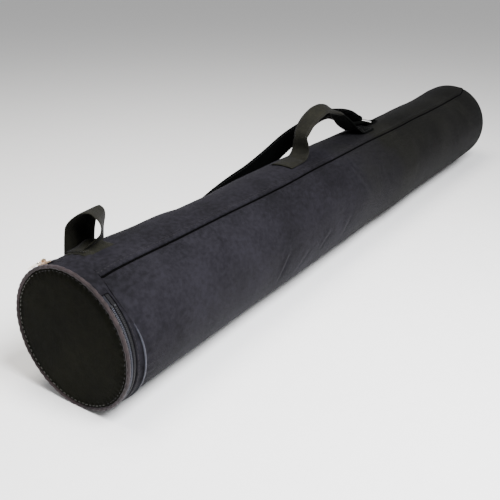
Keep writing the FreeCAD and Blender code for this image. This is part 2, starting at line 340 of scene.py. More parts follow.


# each cloth: its dark and light colour, its yarn spacing and the depth of its weave
# the shell's nylon takes darker, greener far colours; the darkness is painted shade of the far end
NYLON = woven("nylon_shell", (0.0033, 0.0031, 0.0040), (0.0122, 0.0114, 0.0150), 0.9, 0.30,
              sheen=0.02, gloss=0.04, far=((0.0013, 0.0014, 0.0010), (0.0060, 0.0061, 0.0047)))
# painted shade: the lid's cloth is an olive copy of the shell's nylon, made darker for the shade on the lid's
# face, which turns from the key lamp
LID_NYLON_PAINTED_SHADE = woven("nylon_lid_painted_shade", (0.0010, 0.0011, 0.0003), (0.0050, 0.0051, 0.0023), 0.9, 0.30,
                  sheen=0.003, gloss=0.03)
# painted highlight: the binding is its own tape, but its light pinkish colour, laid all round, stands in for
# the highlight on the rim's upper edge
BINDING_PAINTED_HIGHLIGHT = woven("binding_painted_highlight", (0.0072, 0.0050, 0.0050), (0.033, 0.0232, 0.0236), 0.7, 0.25,
                sheen=0.12, roughness=0.6, rib=(0.9, 0.6))
TAPE = woven("zip_tape", (0.0012, 0.0012, 0.0015), (0.005, 0.0048, 0.006), 0.6, 0.2,
             sheen=0.01, rib=(0.5, 1.2))
# painted light: the lid's zip tape is a lighter, bluer copy of the body's tape, standing in for the light on
# the lid side of the zip
LID_TAPE_PAINTED_LIGHT = woven("lid_zip_tape", (0.004, 0.0042, 0.006), (0.012, 0.0125, 0.017), 0.6, 0.2,
                 sheen=0.03, rib=(0.5, 1.2))
# painted highlight: a lighter, bluer cloth for the cuff's rolled crest, where its ridge catches the light
CUFF_CREST_PAINTED_HIGHLIGHT = woven("cuff_crest_painted_highlight", (0.012, 0.0125, 0.017), (0.040, 0.042, 0.055), 0.6, 0.2,
                  sheen=0.10, roughness=0.55)
# painted shadow: near-black cloth for strips laid where only shade falls, under the long seam's lap and
# behind the cuff
SEAM_SHADE = woven("seam_painted_shadow", (0.0002, 0.0002, 0.0002), (0.0006, 0.0006, 0.0006), 0.6, 0.2,
                   sheen=0.0, gloss=0.02)
WEBBING = woven("webbing", (0.0020, 0.0020, 0.0010), (0.0094, 0.0091, 0.0054), 1.0, 0.5, sheen=0.03,
                roughness=0.66, rib=(2.2, 1.5), gloss=0.10)
# the strap's own black webbing, also laid on the handle's far end as painted shade
STRAP_WEB_AND_HANDLE_SHADE = woven("strap_webbing_and_handle_shade", (0.0003, 0.0004, 0.0004), (0.0015, 0.0019, 0.0016), 1.0, 0.5, sheen=0.0,
                  roughness=0.85, rib=(2.2, 1.5), gloss=0.04)
LINING = woven("lining", (0.014, 0.014, 0.017), (0.034, 0.034, 0.040), 0.7, 0.12, sheen=0.10, roughness=0.55)
THREAD = plain("thread", (0.004, 0.004, 0.004), (0.014, 0.013, 0.015), 0.6, 1800.0, 0.1)
PALE_THREAD = plain("pale_thread", (0.030, 0.030, 0.027), (0.085, 0.085, 0.078), 0.6, 1800.0, 0.1)
# painted light: the lid's teeth are a lighter, bluer copy of the body's, for the light on the lid side of the
# zip
LID_TEETH_PAINTED_LIGHT = plain("lid_zip_teeth", (0.014, 0.0145, 0.020), (0.038, 0.040, 0.053), 0.5, 900.0, 0.05)
TEETH = plain("zip_teeth", (0.003, 0.003, 0.004), (0.010, 0.010, 0.012), 0.5, 900.0, 0.05)
BOARD = plain("stiffener_board", (0.42, 0.42, 0.40), (0.52, 0.52, 0.49), 0.5, 300.0, 0.1)
FOAM = plain("foam", (0.20, 0.20, 0.21), (0.30, 0.30, 0.31), 0.9, 700.0, 0.5)
CHROME = metal("bright_metal", (0.86, 0.85, 0.83), (0.50, 0.46, 0.40), 0.16)
SLIDER_METAL = metal("slider_metal", (0.70, 0.52, 0.36), (0.38, 0.24, 0.13), 0.30)
PULL_METAL = metal("pull_metal", (0.90, 0.86, 0.80), (0.80, 0.52, 0.24), 0.14)


# ---- the tube's form ----
DENTS = [  # x, angle, length along, width round, depth: shallow hollows of the padded wall
    (98, 20, 26, 30, 0.9), (182, 30, 40, 46, 4.6), (353, -78, 34, 22, 2.6), (300, -70, 60, 40, 1.2),
    (420, -95, 46, 26, 1.6), (150, -95, 60, 26, 1.5), (30, -78, 20, 30, 0.9), (520, -60, 60, 26, 1.3),
    (640, -84, 70, 34, 1.6), (740, -55, 50, 30, 1.3), (600, 30, 60, 30, 1.4), (700, 10, 50, 24, 0.9),
    (240, 60, 60, 30, 1.6), (470, 95, 80, 30, 1.8), (690, 110, 70, 34, 1.5), (130, 120, 60, 30, 1.4),
    (800, 80, 30, 30, 1.2),
]
CREASES = [  # from x, angle to x, angle, half width, depth: a fold with a raised lip
    (308, -94, 286, -108, 3.4, 0.8), (222, -88, 206, -112, 3.4, 1.0), (85, -31, 91, -50, 1.8, 0.45),
    (262, -98, 240, -118, 4.0, 0.6), (386, -42, 410, -80, 5.0, 0.7), (360, -92, 340, -110, 4.2, 0.6),
    (22, 4, 32, -14, 2.4, 0.6), (452, -58, 470, -92, 5.4, 0.25), (560, -80, 545, -104, 5.0, 0.2),
    (330, 70, 352, 104, 4.4, 0.8), (600, 80, 624, 112, 4.4, 0.8), (180, 80, 165, 112, 4.2, 0.8),
    (760, -30, 778, -66, 5.4, 0.2), (815, 20, 822, 60, 4.6, 0.4),
]
SWELLS = [(40, -60, 30, 60, 0.6), (480, -60, 120, 50, 0.8), (700, -60, 90, 50, 0.7)]  # as DENTS, but rises
FOOT_SPREAD, FOOT_HALF = 1.5, 12.0  # the underside's spread, and half the angle over which it is full


def foot(angle):
    """How far the soft underside spreads beyond the circle to its flat on the floor."""
    d = abs(180 - angle % 360)
    flat = FLOOR / math.cos(math.radians(min(d, 30))) - TUBE_R
    return min(flat, FOOT_SPREAD * bump(max(d, FOOT_HALF), FOOT_HALF, 9))


def crease(x, angle, fold):
    """The height of one fold at x and angle: a slightly bent groove with a lip on one side."""
    x1, a1, x2, a2, half, depth = fold
    along = Vector((x2 - x1, (a2 - a1) * ARC))
    here = Vector((x - x1, wrap(angle - a1) * ARC))
    length = along.length
    t = here.dot(along) / (length * length)
    if t < -0.25 or t > 1.25:
        return 0.0
    side = (here.x * along.y - here.y * along.x) / length
    if abs(side) > half * 5:
        return 0.0
    fade = step(t, -0.2, 0.25) * (1 - step(t, 0.7, 1.2))
    side -= half * 0.5 * math.sin(t * 3.0)
    return fade * depth * (0.7 * bump(side, half * 1.3, half) - bump(side, -half * 0.3, half * 0.8))


def relief(x, angle):
    """Height of the fabric over the plain tube, in millimetres."""
    a = math.radians(angle)
    y, z = TUBE_R * math.sin(a), TUBE_R * math.cos(a)
    h = 0.75 * rough(x, y + 200, z, 85) + 0.40 * rough(x + 90, y, z, 34) + 0.16 * rough(x, y, z + 70, 13)
    for sign, hollows in ((-1, DENTS), (1, SWELLS)):
        for cx, ca, lx, la, depth in hollows:
            h += sign * depth * bump(x, cx, lx) * bump(wrap(angle - ca), 0, la)
    for fold in CREASES:
        h += crease(x, angle, fold)
    ends = step(x, CUFF_X1, CUFF_X1 + 26) * (1 - step(x, END_X - 60, END_X - END_ROUND) * 0.8)
    under = 1 - step(abs(wrap(angle)), 140, 158)
    return h * ends * under


def cuff_back(angle):
    """The cuff's back edge. It narrows to the zip's open end, at the upper front."""
    return CUFF_X1 - 0.6 - 6.0 * bump(wrap(angle + 44), 0, 24)


def seam_angle(x):
    """The long seam's own slight wander, and its turn towards the top at the far rim."""
    return SEAM_ANGLE + 0.5 * math.sin(x / 57) + 0.35 * math.sin(x / 23) + 7 * step(x, END_X - 46, END_X)


def seam_groove(x, angle):
    """The lap's lower edge stands over a narrow groove, with a puffed ridge on each side."""
    d = wrap(angle - seam_angle(x)) * ARC
    start = cuff_back(SEAM_ANGLE)
    on = step(x, start, start + 4) * (1 - 0.75 * step(x, END_X - 26, END_X - 10))
    pucker = 0.25 * rough(x, 0, 0, 4.0) * bump(d, 0, 7)
    return on * (0.45 * bump(d, 5.5, 3.6) + 0.55 * bump(d, -5.5, 4) - 2.0 * bump(d, -1.0, 1.3) + pucker)


def skin(x, angle):
    """Radius of the tube's fabric at x and angle, gathered behind the cuff and fuller at the far top."""
    r = TUBE_R + foot(angle) + relief(x, angle) + seam_groove(x, angle)
    gather = 0.35 * math.cos(math.radians(angle) * 46) * bump(x, CUFF_X1 + 5, 9)
    waist = -0.9 * bump(x, CUFF_X1 + 1, 5)
    crown = 3.6 * step(x, 730, 830) * bump(wrap(angle - 18), 0, 70)
    return on_floor(max(r + gather + waist + crown, LEAST_R), angle)


def around(step_deg, a0=0.0, a1=360.0):
    """Angles step_deg apart, without the last one if they go all the way round."""
    part = a1 - a0 < 360
    return np.linspace(a0, a1, int(round((a1 - a0) / step_deg)) + int(part), endpoint=part)


def round_the_shell():
    """Angles round the shell, close together beside the long seam."""
    near, far = SEAM_ANGLE - 6, SEAM_ANGLE + 14
    return np.concatenate([np.linspace(near, far, 50, endpoint=False), np.arange(far, near + 359.2, 1.8)])


def shell_stations():
    """(x, radius taken off) stations from the mouth to the far rim, and round it to the end panel's seam."""
    body = [(x, 0.0) for x in spans(CUFF_FRONT + 0.8, ROUND_X, 2.4)]
    turn = [math.radians(t) for t in np.linspace(6, 90, 13)]
    return body + [(ROUND_X + END_ROUND * math.sin(t), END_ROUND * (1 - math.cos(t))) for t in turn]


def outer_shell():
    """The tube's fabric, from under the cuff to the end panel."""
    stations = shell_stations()

    def point(i, angle):
        x, off = stations[int(i)]
        r = skin(x, angle) - off
        return spoke(angle, r, x), (x + off, math.radians(angle) * TUBE_R)

    obj = surface("shell_fabric", point, range(len(stations)), round_the_shell(), NYLON, close=True,
                  thickness=0.9)
    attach(obj, "tube")
    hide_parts("outer_shell")


def foam_sleeve():
    """The padding between the lining and the fabric; it follows the fabric's dents."""
    inner = LINING_R + 0.15
    first = CUFF_X1 + 4
    verts = []
    xs = spans(CUFF_X0 + 0.4, END_X - 9, 8.0)
    angles = around(4.0)
    for x in xs:
        for angle in angles:
            r = min(skin(max(x, first), angle), skin(max(x - 4, first), angle), skin(x + 4, angle))
            r -= 2.2 * bump(wrap(angle - seam_angle(x)), 0, 6)
            verts.append(spoke(angle, max(min(r - 1.4, FLOOR - 1.6), inner + 0.1), x))
    for x in xs[::-1]:
        for angle in angles:
            verts.append(spoke(angle, inner, x))
    n, last = len(angles), (2 * len(xs) - 1) * len(angles)
    faces = grid_faces(2 * len(xs), n, True)
    faces += [(j, (j + 1) % n, last + (j + 1) % n, last + j) for j in range(n)]
    obj = build("foam_sleeve", verts, faces, FOAM)
    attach(obj, "tube")
    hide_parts("foam_padding")


def disc_surface(name, x_of, r_max, material, rings=26, sectors=144, facing=-1):
    """A round cloth panel; x_of(radius, angle) gives its face, which looks along -X or +X by facing."""
    verts, cloth = [spoke(0, 0, x_of(0, 0))], [(0, 0, 0)]
    for i in range(1, rings + 1):
        r = r_max * (1 - (1 - i / rings) ** 1.5)
        for j in range(sectors):
            angle = 360 * j / sectors
            radius = on_floor(r + 0.15, angle) - 0.15
            verts.append(spoke(angle, radius, x_of(radius, angle)))
            a = math.radians(angle)
            cloth.append((radius * math.sin(a), radius * math.cos(a), 0))
    faces = [(0, 1 + j, 1 + (j + 1) % sectors) for j in range(sectors)]
    for i in range(rings - 1):
        for j in range(sectors):
            k = (j + 1) % sectors
            a, b = 1 + i * sectors, 1 + (i + 1) * sectors
            faces.append((a + j, b + j, b + k, a + k))
    if facing > 0:
        faces = [f[::-1] for f in faces]
    obj = build(name, verts, faces, material, cloth)
    thicken(obj, 0.8)
    return obj


def end_panel():
    """The closed end's disc, sewn in a little behind the rounded rim."""
    def face(r, angle):
        a = math.radians(angle)
        edge = step(r, 40, 47) + 0.2 * step(r, 48, 51)
        puffed = 0.5 * rough(r * math.sin(a), r * math.cos(a), 5, 26)
        pucker = 0.3 * math.cos(a * 40) * bump(r, 45, 3)
        return END_X - 0.6 - 1.6 * edge + puffed * 0.6 * (1 - edge) + pucker - 0.4

    obj = disc_surface("end_panel_cloth", face, 53.0, NYLON, facing=1)
    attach(obj, "tube")
    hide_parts("end_panel")


# ---- thread ----
STITCH_FILL = 0.62  # the share of the pitch that a stitch covers


def capsules(name, items, radius, material):
    """Short rounded threads: items are (centre, direction, up, half length) in metres."""
    sides = 6
    verts, faces = [], []
    profile = [(-1.0, 0.15), (-0.72, 0.85), (0.0, 1.0), (0.72, 0.85), (1.0, 0.15)]
    pattern = grid_faces(len(profile), sides, True, capped=True)
    for centre, direction, up, half in items:
        d = direction.normalized()
        side = d.cross(up).normalized()
        top = side.cross(d)
        first = len(verts)
        for t, share in profile:
            for k in range(sides):
                a = TAU * k / sides
                ring = (side * math.cos(a) + top * math.sin(a) * 0.8) * radius * MM * share
                verts.append(above_floor(centre + d * (half * t) + ring))
        faces += [tuple(first + k for k in face) for face in pattern]
    return build(name, verts, faces, material)


def stitch_line(points, ups, pitch):
    """Stitches along a polyline of points in metres, with the outward direction at each point."""
    lengths = [0.0]
    for a, b in zip(points, points[1:]):
        lengths.append(lengths[-1] + (b - a).length)
    items = []
    half = pitch * STITCH_FILL * MM / 2
    k = 0
    for i in range(int(lengths[-1] / (pitch * MM))):
        s = (i + 0.5) * pitch * MM
        while k < len(lengths) - 2 and lengths[k + 1] < s:
            k += 1
        t = (s - lengths[k]) / max(1e-9, lengths[k + 1] - lengths[k])
        where = points[k].lerp(points[k + 1], t)
        items.append((where, points[k + 1] - points[k], ups[k].lerp(ups[k + 1], t), half))
    return items


def ring_stitches(name, x, radius_of, pitch, body, a0=0.0, a1=360.0, radius=0.32,
                  thread=None):
    """A row of stitches round the tube at x, from angle a0 to a1; the thread is dark if none is given."""
    angles = list(np.arange(a0, a1 + 0.01, 2.0))
    points = [spoke(a, radius_of(a), x) for a in angles]
    ups = [outward(a) for a in angles]
    obj = capsules(name, stitch_line(points, ups, pitch), radius, thread or THREAD)
    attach(obj, body)


# ---- the long lapped seam ----
def long_seam():
    """The top layer's folded edge, standing over the groove, a near-black strip of painted shadow under it,
    and its row of topstitching.
    """
    stations = [s for s in shell_stations() if s[0] > cuff_back(SEAM_ANGLE) + 0.6]
    lap = [(5.0, -0.6), (1.6, -0.5), (0.1, -0.35), (-0.25, 0.35), (0.05, 0.85), (0.9, 0.95), (2.6, 0.75),
           (5.4, 0.35), (7.5, -0.25)]

    def point(i, j):
        x, off = stations[int(i)]
        out, lift = lap[int(j)]
        angle = seam_angle(x) + out / ARC
        return spoke(angle, skin(x, angle) - off + lift, x), (x + off, out)

    obj = surface("seam_lap", point, range(len(stations)), range(len(lap)), NYLON, close=True)
    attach(obj, "tube")
    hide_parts("long_seam")

    # a near-black strip of painted shadow under the lap's edge, over the groove
    lifts = (0.08, 0.3, 0.5, 0.55, 0.4)

    def fold(i, j):
        x, off = stations[int(i)]
        out = -1.9 + 2.2 * j / (len(lifts) - 1)
        angle = seam_angle(x) + out / ARC
        return spoke(angle, skin(x, angle) - off + lifts[int(j)], x), (x, out)

    shade = surface("seam_painted_shadow", fold, range(len(stations)), range(len(lifts)), SEAM_SHADE)
    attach(shade, "tube")
    angles = [seam_angle(x) + 3.3 for x, off in stations]
    points = [spoke(a, skin(x, a) - off + 0.75, x) for a, (x, off) in zip(angles, stations)]
    ups = [outward(a) for a in angles]
    thread = capsules("seam_topstitch", stitch_line(points, ups, 3.4), 0.20, THREAD)
    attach(thread, "tube")


# ---- inside ----
def bore_lining():
    """The inner sleeve, with a rolled mouth and the slack of loose cloth."""
    inner = LINING_R - 0.5
    stations = [(1.6, 1.3), (0.5, 1.0), (0.1, 0.5), (0.5, 0.1)]
    stations += [(x, 0.0) for x in spans(2.5, PANEL_LOW.x / MM - 5, 5.0)]

    def point(i, angle):
        x, out = stations[int(i)]
        a = math.radians(angle)
        slack = 0.35 * rough(x, 40 * math.sin(a), 40 * math.cos(a), 26)
        gather = 0.12 * math.cos(a * 44) * bump(x, 6, 8)
        return spoke(angle, inner + out + (slack + gather) * step(x, 2, 14) * 0.6, x), (x, a * LINING_R)

    obj = surface("bore_lining", point, range(len(stations)), around(2.5), LINING, close=True, thickness=-0.4)
    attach(obj, "tube")
    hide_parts("lining")
    ring_stitches("bore_lining_stitch", 9.0, lambda a: inner, 3.4, "tube", radius=0.24)


def pad_disc(name, node, material, body, puff, trim=0.0):
    """A closed round layer with a soft edge and puckers near it, its radius cut by trim to fit the fabric."""
    low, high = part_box(node)
    radius, middle = high.y / MM - trim, (low.x + high.x) / 2 / MM
    half = (high.x - low.x) / 2 / MM
    flat_r = radius - 2 * half
    turn = [math.radians(t) for t in np.linspace(-90, 90, 7)]
    profile = [(r, -1.0) for r in spans(1.0, flat_r, 3.5)]
    profile += [(flat_r + 2 * half * math.cos(t), math.sin(t)) for t in turn[1:-1]]
    profile += [(r, 1.0) for r in spans(flat_r, 1.0, 3.5)]

    def point(i, angle):
        r, side = profile[int(i)]
        a = math.radians(angle)
        wave = puff * rough(r * math.sin(a) + 9 * side, r * math.cos(a), 7, 17)
        pucker = 0.5 * puff * math.cos(a * 48) * bump(r, radius - 4, 4)
        x = middle + side * (half + min(0.15, wave * 0.5 + pucker * 0.4) - 0.1)
        return spoke(angle, r, x), (r * math.sin(a), r * math.cos(a))

    verts, cloth, faces = cloth_grid(point, range(len(profile)), around(2.5), close=True, capped=True)
    closed = build(name + "_layer", verts, faces, material, cloth)
    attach(closed, body)
    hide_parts(node)


# ---- the mouth: cuff, zip and hinge ----
def cuff_radius(angle):
    """Radius of the cuff's cloth between its edges."""
    return on_floor(TUBE_R + 0.5 + foot(angle) + 0.35 * rough(angle, 3, 0, 22), angle)


def cuff_height(angle):
    """How far the cuff stands proud: full beside the zip, nearly flush at the hinge."""
    return 1 - 0.85 * bump(wrap(angle + 6), 0, 34)


def cuff_ridge(angle):
    """How far the cuff's back edge stands out at the lower front."""
    return 1.7 * bump(wrap(angle + 92), 0, 34)


CREST_FROM, CREST_TO = 232, 298  # the stretch of the back edge whose rolled cloth shows paler, a painted highlight where the ridge catches the light


def cuff():
    """The band over the zip's tape: two rolled edges, a near-black strip of painted shadow behind it, and the
    crest, paler with a painted highlight.
    """
    profile = [(0.0, -1.2), (0.0, -0.3), (0.05, 0.25), (0.16, 0.45), (0.3, 0.3), (0.5, 0.35), (0.7, 0.45),
               (0.86, 0.85), (0.96, 0.75), (1.04, 0.25), (1.05, -0.7), (0.98, -1.6)]

    def point(i, angle):
        along, lift = profile[int(i)]
        wave = 0.25 * rough(angle * 1.3, along * 9, 0, 5)
        r = cuff_radius(angle) - 0.5 + (max(lift, 0) + 0.5) * cuff_height(angle) + min(lift, 0)
        r += cuff_ridge(angle) * step(along, 0.66, 0.86) + wave * step(lift, -0.5, 0.3)
        x = CUFF_FRONT + (cuff_back(angle) - CUFF_FRONT) * along
        return spoke(angle, on_floor(r, angle), x), (x + lift, math.radians(angle) * TUBE_R)

    obj = surface("cuff_cloth", point, range(len(profile)), around(1.5), NYLON, close=True, thickness=0.5)
    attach(obj, "tube")
    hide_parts("cuff_band")
    ring_stitches("cuff_stitch", CUFF_FRONT + 1.3, lambda a: cuff_radius(a) + 0.35, 3.2, "tube", 40, 300)

    # a near-black strip of painted shadow just behind the cuff's back edge
    strip = [(0.0, 0.1), (0.4, 0.55), (0.8, 0.65), (1.25, 0.5), (1.7, 0.05)]

    def fold(j, angle):
        behind, lift = strip[int(j)]
        x = cuff_back(angle) + behind
        return spoke(angle, on_floor(skin(x, angle) + lift, angle), x), (x, math.radians(angle) * TUBE_R)

    shade = surface("cuff_painted_shadow", fold, range(len(strip)), around(1.5, 180, 345), SEAM_SHADE)
    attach(shade, "tube")

    roll = [(-1.5, 0.0), (-0.7, 0.3), (0.0, 0.3), (0.4, 0.0)]

    def crest(j, angle):
        behind, rise = roll[int(j)]
        inside = CREST_FROM < angle < CREST_TO
        share = math.sin(math.pi * (angle - CREST_FROM) / (CREST_TO - CREST_FROM)) ** 0.5 if inside else 0.0
        x = cuff_back(angle) - 0.2 + behind * share
        lift = 0.95 + rise * share - 0.5 * (1 - share)
        r = cuff_radius(angle) + lift * cuff_height(angle) + cuff_ridge(angle)
        return spoke(angle, on_floor(r, angle), x), (x, math.radians(angle) * TUBE_R)

    # the crest's rolled cloth wears the painted highlight
    edge = surface("cuff_rolled_edge", crest, range(len(roll)), around(1.5, CREST_FROM, CREST_TO), CUFF_CREST_PAINTED_HIGHLIGHT,
                   thickness=0.4)
    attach(edge, "tube")


def tape(name, x0, x1, lip, body, node, material):
    """A zip tape; lip is its rise at the sewn edge on the tube's side, or its dip at the one on the lid's."""
    def point(x, angle):
        t = (x - x0) / (x1 - x0)
        r = ZIP_R - 0.05 + lip * (t if lip > 0 else 1 - t) ** 2
        return spoke(angle, r, x), (x, math.radians(angle) * ZIP_R)

    obj = surface(name, point, spans(x0, x1, 0.6), around(1.5, GUSSET_TO, 360 + GUSSET_FROM), material,
                  thickness=0.55)
    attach(obj, body)
    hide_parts(node)


def wear(node, material):
    """Give a CAD node that stays in view its material."""
    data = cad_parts[node].data
    data.materials.clear()
    data.materials.append(material)


def zip_teeth(name, side, body, node, stops_node):
    """One row of coil teeth: rounded loops across the tape, with a row of stitches behind them."""
    start, end = ZIP_FROM + 2, ZIP_TO - 2
    count = int(math.radians(end - start) * ZIP_R / 1.45)
    items = []
    for i in range(count):
        angle = start + (end - start) * (i + (0.25 if side > 0 else 0.75)) / count
        centre = spoke(angle, ZIP_R + 0.5, side * 1.42)
        items.append((centre, Vector((1, 0, 0)), outward(angle), 1.1 * MM))
    # the lid's row takes the lighter teeth, painted light
    obj = capsules(name, items, 0.52, TEETH if side > 0 else LID_TEETH_PAINTED_LIGHT)
    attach(obj, body)
    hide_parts(node)
    thread, pitch = (THREAD, 1.5) if side > 0 else (PALE_THREAD, 3.4)
    ring_stitches(name + "_thread", side * 2.75, lambda a: ZIP_R + 0.25, pitch, body, start, end,
                  radius=0.26, thread=thread)
    wear(stops_node, TEETH)


def hinge_gusset():
    """The cloth that joins the lid to the tube."""
    front = -3.4

    def point(t, angle):
        """t runs from the lid's edge to the cuff's back edge."""
        x = front + (cuff_back(angle) + 0.4 - front) * t
        ends = step(angle, GUSSET_FROM, GUSSET_FROM + 7) * (1 - step(angle, GUSSET_TO - 6, GUSSET_TO))
        r = ZIP_R + 0.06 + 0.3 * ends + 0.45 * math.sin(math.pi * t) * ends + 0.95 * step(t, 0.55, 0.9)
        r += 0.15 * rough(x, angle, 0, 3) * ends
        return spoke(angle, r, x), (x, math.radians(angle) * ZIP_R)

    angles = around(1.0, GUSSET_FROM + 0.5, GUSSET_TO - 0.5)
    obj = surface("hinge_cloth", point, np.linspace(0, 1, 28), angles, NYLON, thickness=0.6)
    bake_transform(obj)
    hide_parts("hinge_gusset")


# ---- the lid ----
def lid_face_x(r, angle):
    """The lid's face: flat cloth over board, drawn into small puckers by the rim's stitches."""
    a = math.radians(angle)
    y, z = r * math.sin(a), r * math.cos(a)
    wave = 0.35 * rough(y, z, 3, 30) + 0.18 * rough(y, z, 40, 9)
    rim = step(r, 49, 57.5)
    pucker = 0.45 * math.cos(a * 62 + 2 * math.sin(a * 3)) + 0.35 * rough(angle, r * 0.3, 0, 3)
    return LID_X - 0.35 + wave * (1 - rim) + 0.9 * rim + pucker * 0.6 * bump(r, 55.5, 2.6)


RIM_STITCHES = [  # name, from angle, to angle, thread, radius
    ("pale", 36, 214, PALE_THREAD, 0.42), ("dark", 216, 394, THREAD, 0.34),
]


def lid():
    """The lid's cloth, the binding round it and the stitches inside its rim."""
    obj = disc_surface("lid_cloth", lid_face_x, LID_R - 2.2, LID_NYLON_PAINTED_SHADE, rings=34, sectors=220)
    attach(obj, "lid")
    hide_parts("lid_panel")
    major, minor = LID_R - 1.55, 1.5

    def point(turn, angle):
        t = math.radians(turn)
        ripple = 0.16 * math.cos(math.radians(angle) * 58 + t) + 0.22 * rough(angle, turn / 50, 0, 8)
        r = on_floor(major + (minor + ripple) * math.cos(t), angle)
        x = LID_X + 0.75 + (minor * 1.15 + ripple) * math.sin(t)
        return spoke(angle, r, x), (t * minor, math.radians(angle) * LID_R)

    rim = surface("lid_binding", point, np.linspace(0, 360, 25), around(1.25), BINDING_PAINTED_HIGHLIGHT, close=True)
    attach(rim, "lid")
    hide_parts("lid_piping")
    stitch_r = LID_R - 4.6
    for tag, a0, a1, thread, size in RIM_STITCHES:
        angles = list(np.arange(a0, a1 + 1, 2.0))
        points = [spoke(a, stitch_r, lid_face_x(stitch_r, a) - 0.25) for a in angles]
        ups = [Vector((-1, 0, 0))] * len(angles)
        row = capsules("lid_rim_stitch_" + tag, stitch_line(points, ups, 4.2), size, thread)
        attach(row, "lid")


# ---- webbing ----
def curve_through(stations, spacing):
    """Catmull-Rom samples of (centre, half width vector, thickness, sag) stations, spacing in mm."""
    rows = [np.array([*c, *h, t, s], float) for c, h, t, s in stations]
    out = []
    for i in range(len(rows) - 1):
        p0, p1, p2, p3 = rows[max(i - 1, 0)], rows[i], rows[i + 1], rows[min(i + 2, len(rows) - 1)]
        n = max(2, int(np.linalg.norm(p2[:3] - p1[:3]) / (spacing * MM)))
        for k in range(n):
            t = k / n
            out.append(0.5 * (2 * p1 + (p2 - p0) * t + (2 * p0 - 5 * p1 + 4 * p2 - p3) * t * t
                              + (3 * p1 - p0 - 3 * p2 + p3) * t ** 3))
    out.append(rows[-1])
    return out


def webbing(name, stations, material, spacing=1.6):
    """A flat strap with rounded selvedges. Returns the piece and the samples of its middle line."""
    rows = curve_through(stations, spacing)
    verts, cloth, middle = [], [], []
    run = 0.0
    ts = list(np.linspace(-1, 1, 13))
    loop = [(t, 1) for t in ts] + [(t, -1) for t in reversed(ts)]
    for i, row in enumerate(rows):
        centre, half = Vector(row[:3]), Vector(row[3:6])
        ahead, behind = rows[min(i + 1, len(rows) - 1)], rows[max(i - 1, 0)]
        tangent = Vector(ahead[:3]) - Vector(behind[:3])
        normal = tangent.cross(half).normalized()
        if i:
            run += (centre - Vector(rows[i - 1][:3])).length / MM
        thick, sag = row[6] * MM, row[7] * MM
        middle.append((centre.copy(), half.copy(), normal.copy(), thick))
        for t, face in loop:
            round_off = 0.35 + 0.65 * math.sqrt(max(0.0, 1 - abs(t) ** 6))
            rib = 0.05 * math.cos(t * math.pi * 8) * MM
            where = centre + half * t - normal * (sag * t * t) + normal * face * (thick / 2 * round_off + rib)
            verts.append(above_floor(where))
            cloth.append((run, t * half.length / MM, 0))
    faces = grid_faces(len(rows), len(loop), True, capped=True)
    return build(name, verts, faces, material, cloth), middle


def edge_stitches(name, middle, share, pitch, body):
    """A row of stitches along a strap, at share of its half width."""
    points = [c + h * share + n * (t / 2) for c, h, n, t in middle]
    ups = [n for c, h, n, t in middle]
    obj = capsules(name, stitch_line(points, ups, pitch), 0.30, THREAD)
    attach(obj, body)


def box_stitch(name, x0, x1, a0, a1, radius):
    """A sewn box with a cross in it, on the tube's roundness."""
    corners = [(x0, a0), (x1, a0), (x1, a1), (x0, a1), (x0, a0)]
    lines = list(zip(corners, corners[1:])) + [((x0, a0), (x1, a1)), ((x0, a1), (x1, a0))]
    items = []
    for (xa, aa), (xb, ab) in lines:
        shares = [k / 12 for k in range(13)]
        angles = [aa + (ab - aa) * share for share in shares]
        points = [spoke(a, radius, xa + (xb - xa) * share) for a, share in zip(angles, shares)]
        items += stitch_line(points, [outward(a) for a in angles], 2.8)
    obj = capsules(name, items, 0.34, THREAD)
    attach(obj, "tube")


def on_tube(x, height, half):
    """A webbing station lying on top of the tube, with its width round the tube."""
    r = TUBE_R + height
    return (spoke(0, r, x), round_way(0) * half * MM, WEB_T, half * half / (2 * r))


NEAR_FOOT = [(299, 1.4, 13), (310, 1.5, 13), (322, 1.6, 12.6), (330, 2.0, 12)]  # x, height, half width
FAR_FOOT = [(477, 2.2, 13), (487, 1.6, 13), (497, 1.5, 13), (506, 1.4, 13)]
GRIP_LINE = [  # between the feet: x, z, half width vector, and thickness and sag where they matter
    (336.0, 64.4, 0.2, 11.6, 0, WEB_T, 0.7), (339.2, 70.6, 0.6, 11, -0.5, WEB_T, 0.2),
    (338.9, 76.6, 0.7, 10, -0.6, 1.5), (338.5, 82.4, 0.8, 8.5, -0.7, 2.2), (340.2, 86.4, 0.7, 9.6, -0.4, 3.2),
    (344.8, 91.3, 0.4, 10, 0, 3.4), (350.4, 95.6, 0, 10, 0.7, 3.4), (356.8, 98.9, -0.5, 9.9, 1.3, 3.4),
    (365.2, 102.1, 0.4, 9.7, 2.3, 3.4), (373.6, 104.1, 1.2, 9.4, 3.2, 3.4), (381, 105.3, 2.7, 9.0, 3.2, 3.4),
    (388, 105.6, 4.1, 8.5, 3.2, 3.4), (395.8, 104.4, 4.8, 8.3, 2.9, 3.4), (403.2, 102, 5.2, 8.2, 2.6, 3.4),
    (411.4, 99.2, 4.2, 8.9, 1.2, 3.4), (419, 95.7, 2.9, 9.6, -0.4, 3.2), (427.6, 90.6, 1.4, 10.3, -0.8, 2.8),
    (435.9, 84.6, -0.1, 10.9, -1.2, 2.2), (443.4, 79.2, -1.4, 11.5, -1.0), (450.6, 74.2, -1.6, 12, -0.6),
    (460, 68.9, -1.0, 12.6, 0, WEB_T, 0.5), (468.6, 65.0, 0, 13, 0, WEB_T, 1.0),
]
PAINTED_SHADE_FROM = 421.0  # from here the handle, the same webbing throughout, wears the strap's blacker webbing as painted shade of its far leg's inner face
GRIP_FROM = 81.0  # the grip's stitches begin at this height
BOX_R = TUBE_R + 2.25  # radius of the box stitches on the handle's feet


